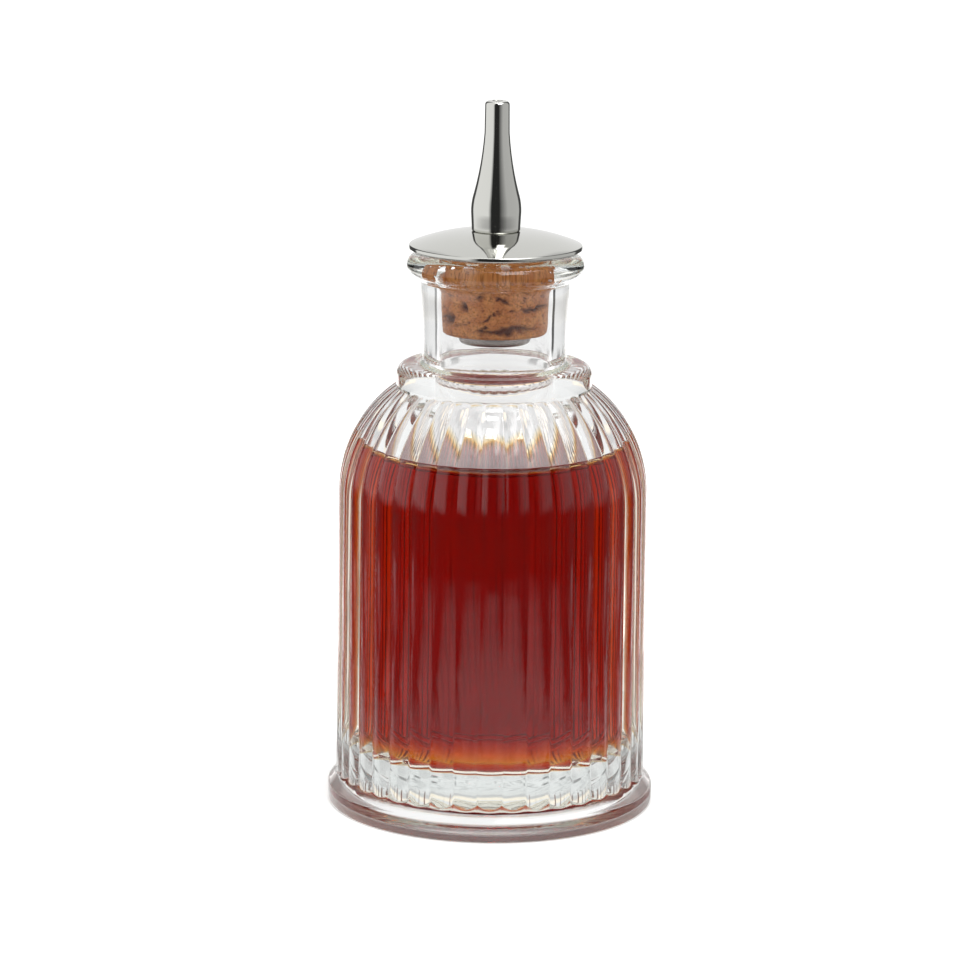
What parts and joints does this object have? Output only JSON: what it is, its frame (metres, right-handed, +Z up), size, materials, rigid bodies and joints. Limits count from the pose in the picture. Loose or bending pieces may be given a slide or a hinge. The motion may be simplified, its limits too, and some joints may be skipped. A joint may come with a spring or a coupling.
{
  "type": "bitters bottle",
  "caption": "Ribbed clear glass bottle of red bitters with a flared foot, a collared neck and a cork stopper carrying a domed metal disc and a tapered dasher spout.",
  "frame": {"origin": "centre of the bottle's foot, on the surface that it stands on", "axes": "+Z up along the bottle's axis, -Y the front, with one glass rib facing it, +X to the right seen from the front"},
  "size_m": [0.062, 0.062, 0.1342],
  "materials": {
    "clear_glass": "gloss",
    "bitters": "gloss",
    "cork": "matte",
    "polished_steel": "polished",
    "satin_steel": "satin"
  },
  "bodies": {
    "bottle": {"glass_bottle": "clear_glass", "bitters_fill": "bitters"},
    "stopper": {"cork_stopper": "cork", "cap_disc": "polished_steel"},
    "spout": {"spout": "polished_steel"},
    "screw": {"hollow_screw": "satin_steel"}
  },
  "joints": [
    {"name": "stopper_lift", "type": "slide", "parent": "bottle", "child": "stopper", "axis": [0, 0, 1], "range_m": [0, 0.035]},
    {"name": "spout_unscrew", "type": "hinge", "parent": "stopper", "child": "spout", "pos_m": [0, 0, 0.1098], "axis": [0, 0, 1], "range_deg": [0, 2160]},
    {"name": "screw_drop", "type": "slide", "parent": "stopper", "child": "screw", "axis": [0, 0, -1], "range_m": [0, 0.0048]}
  ],
  "couplings": [
    {"joint": "spout_unscrew", "follows": "screw_drop", "rad_per_m": 7854}
  ]
}
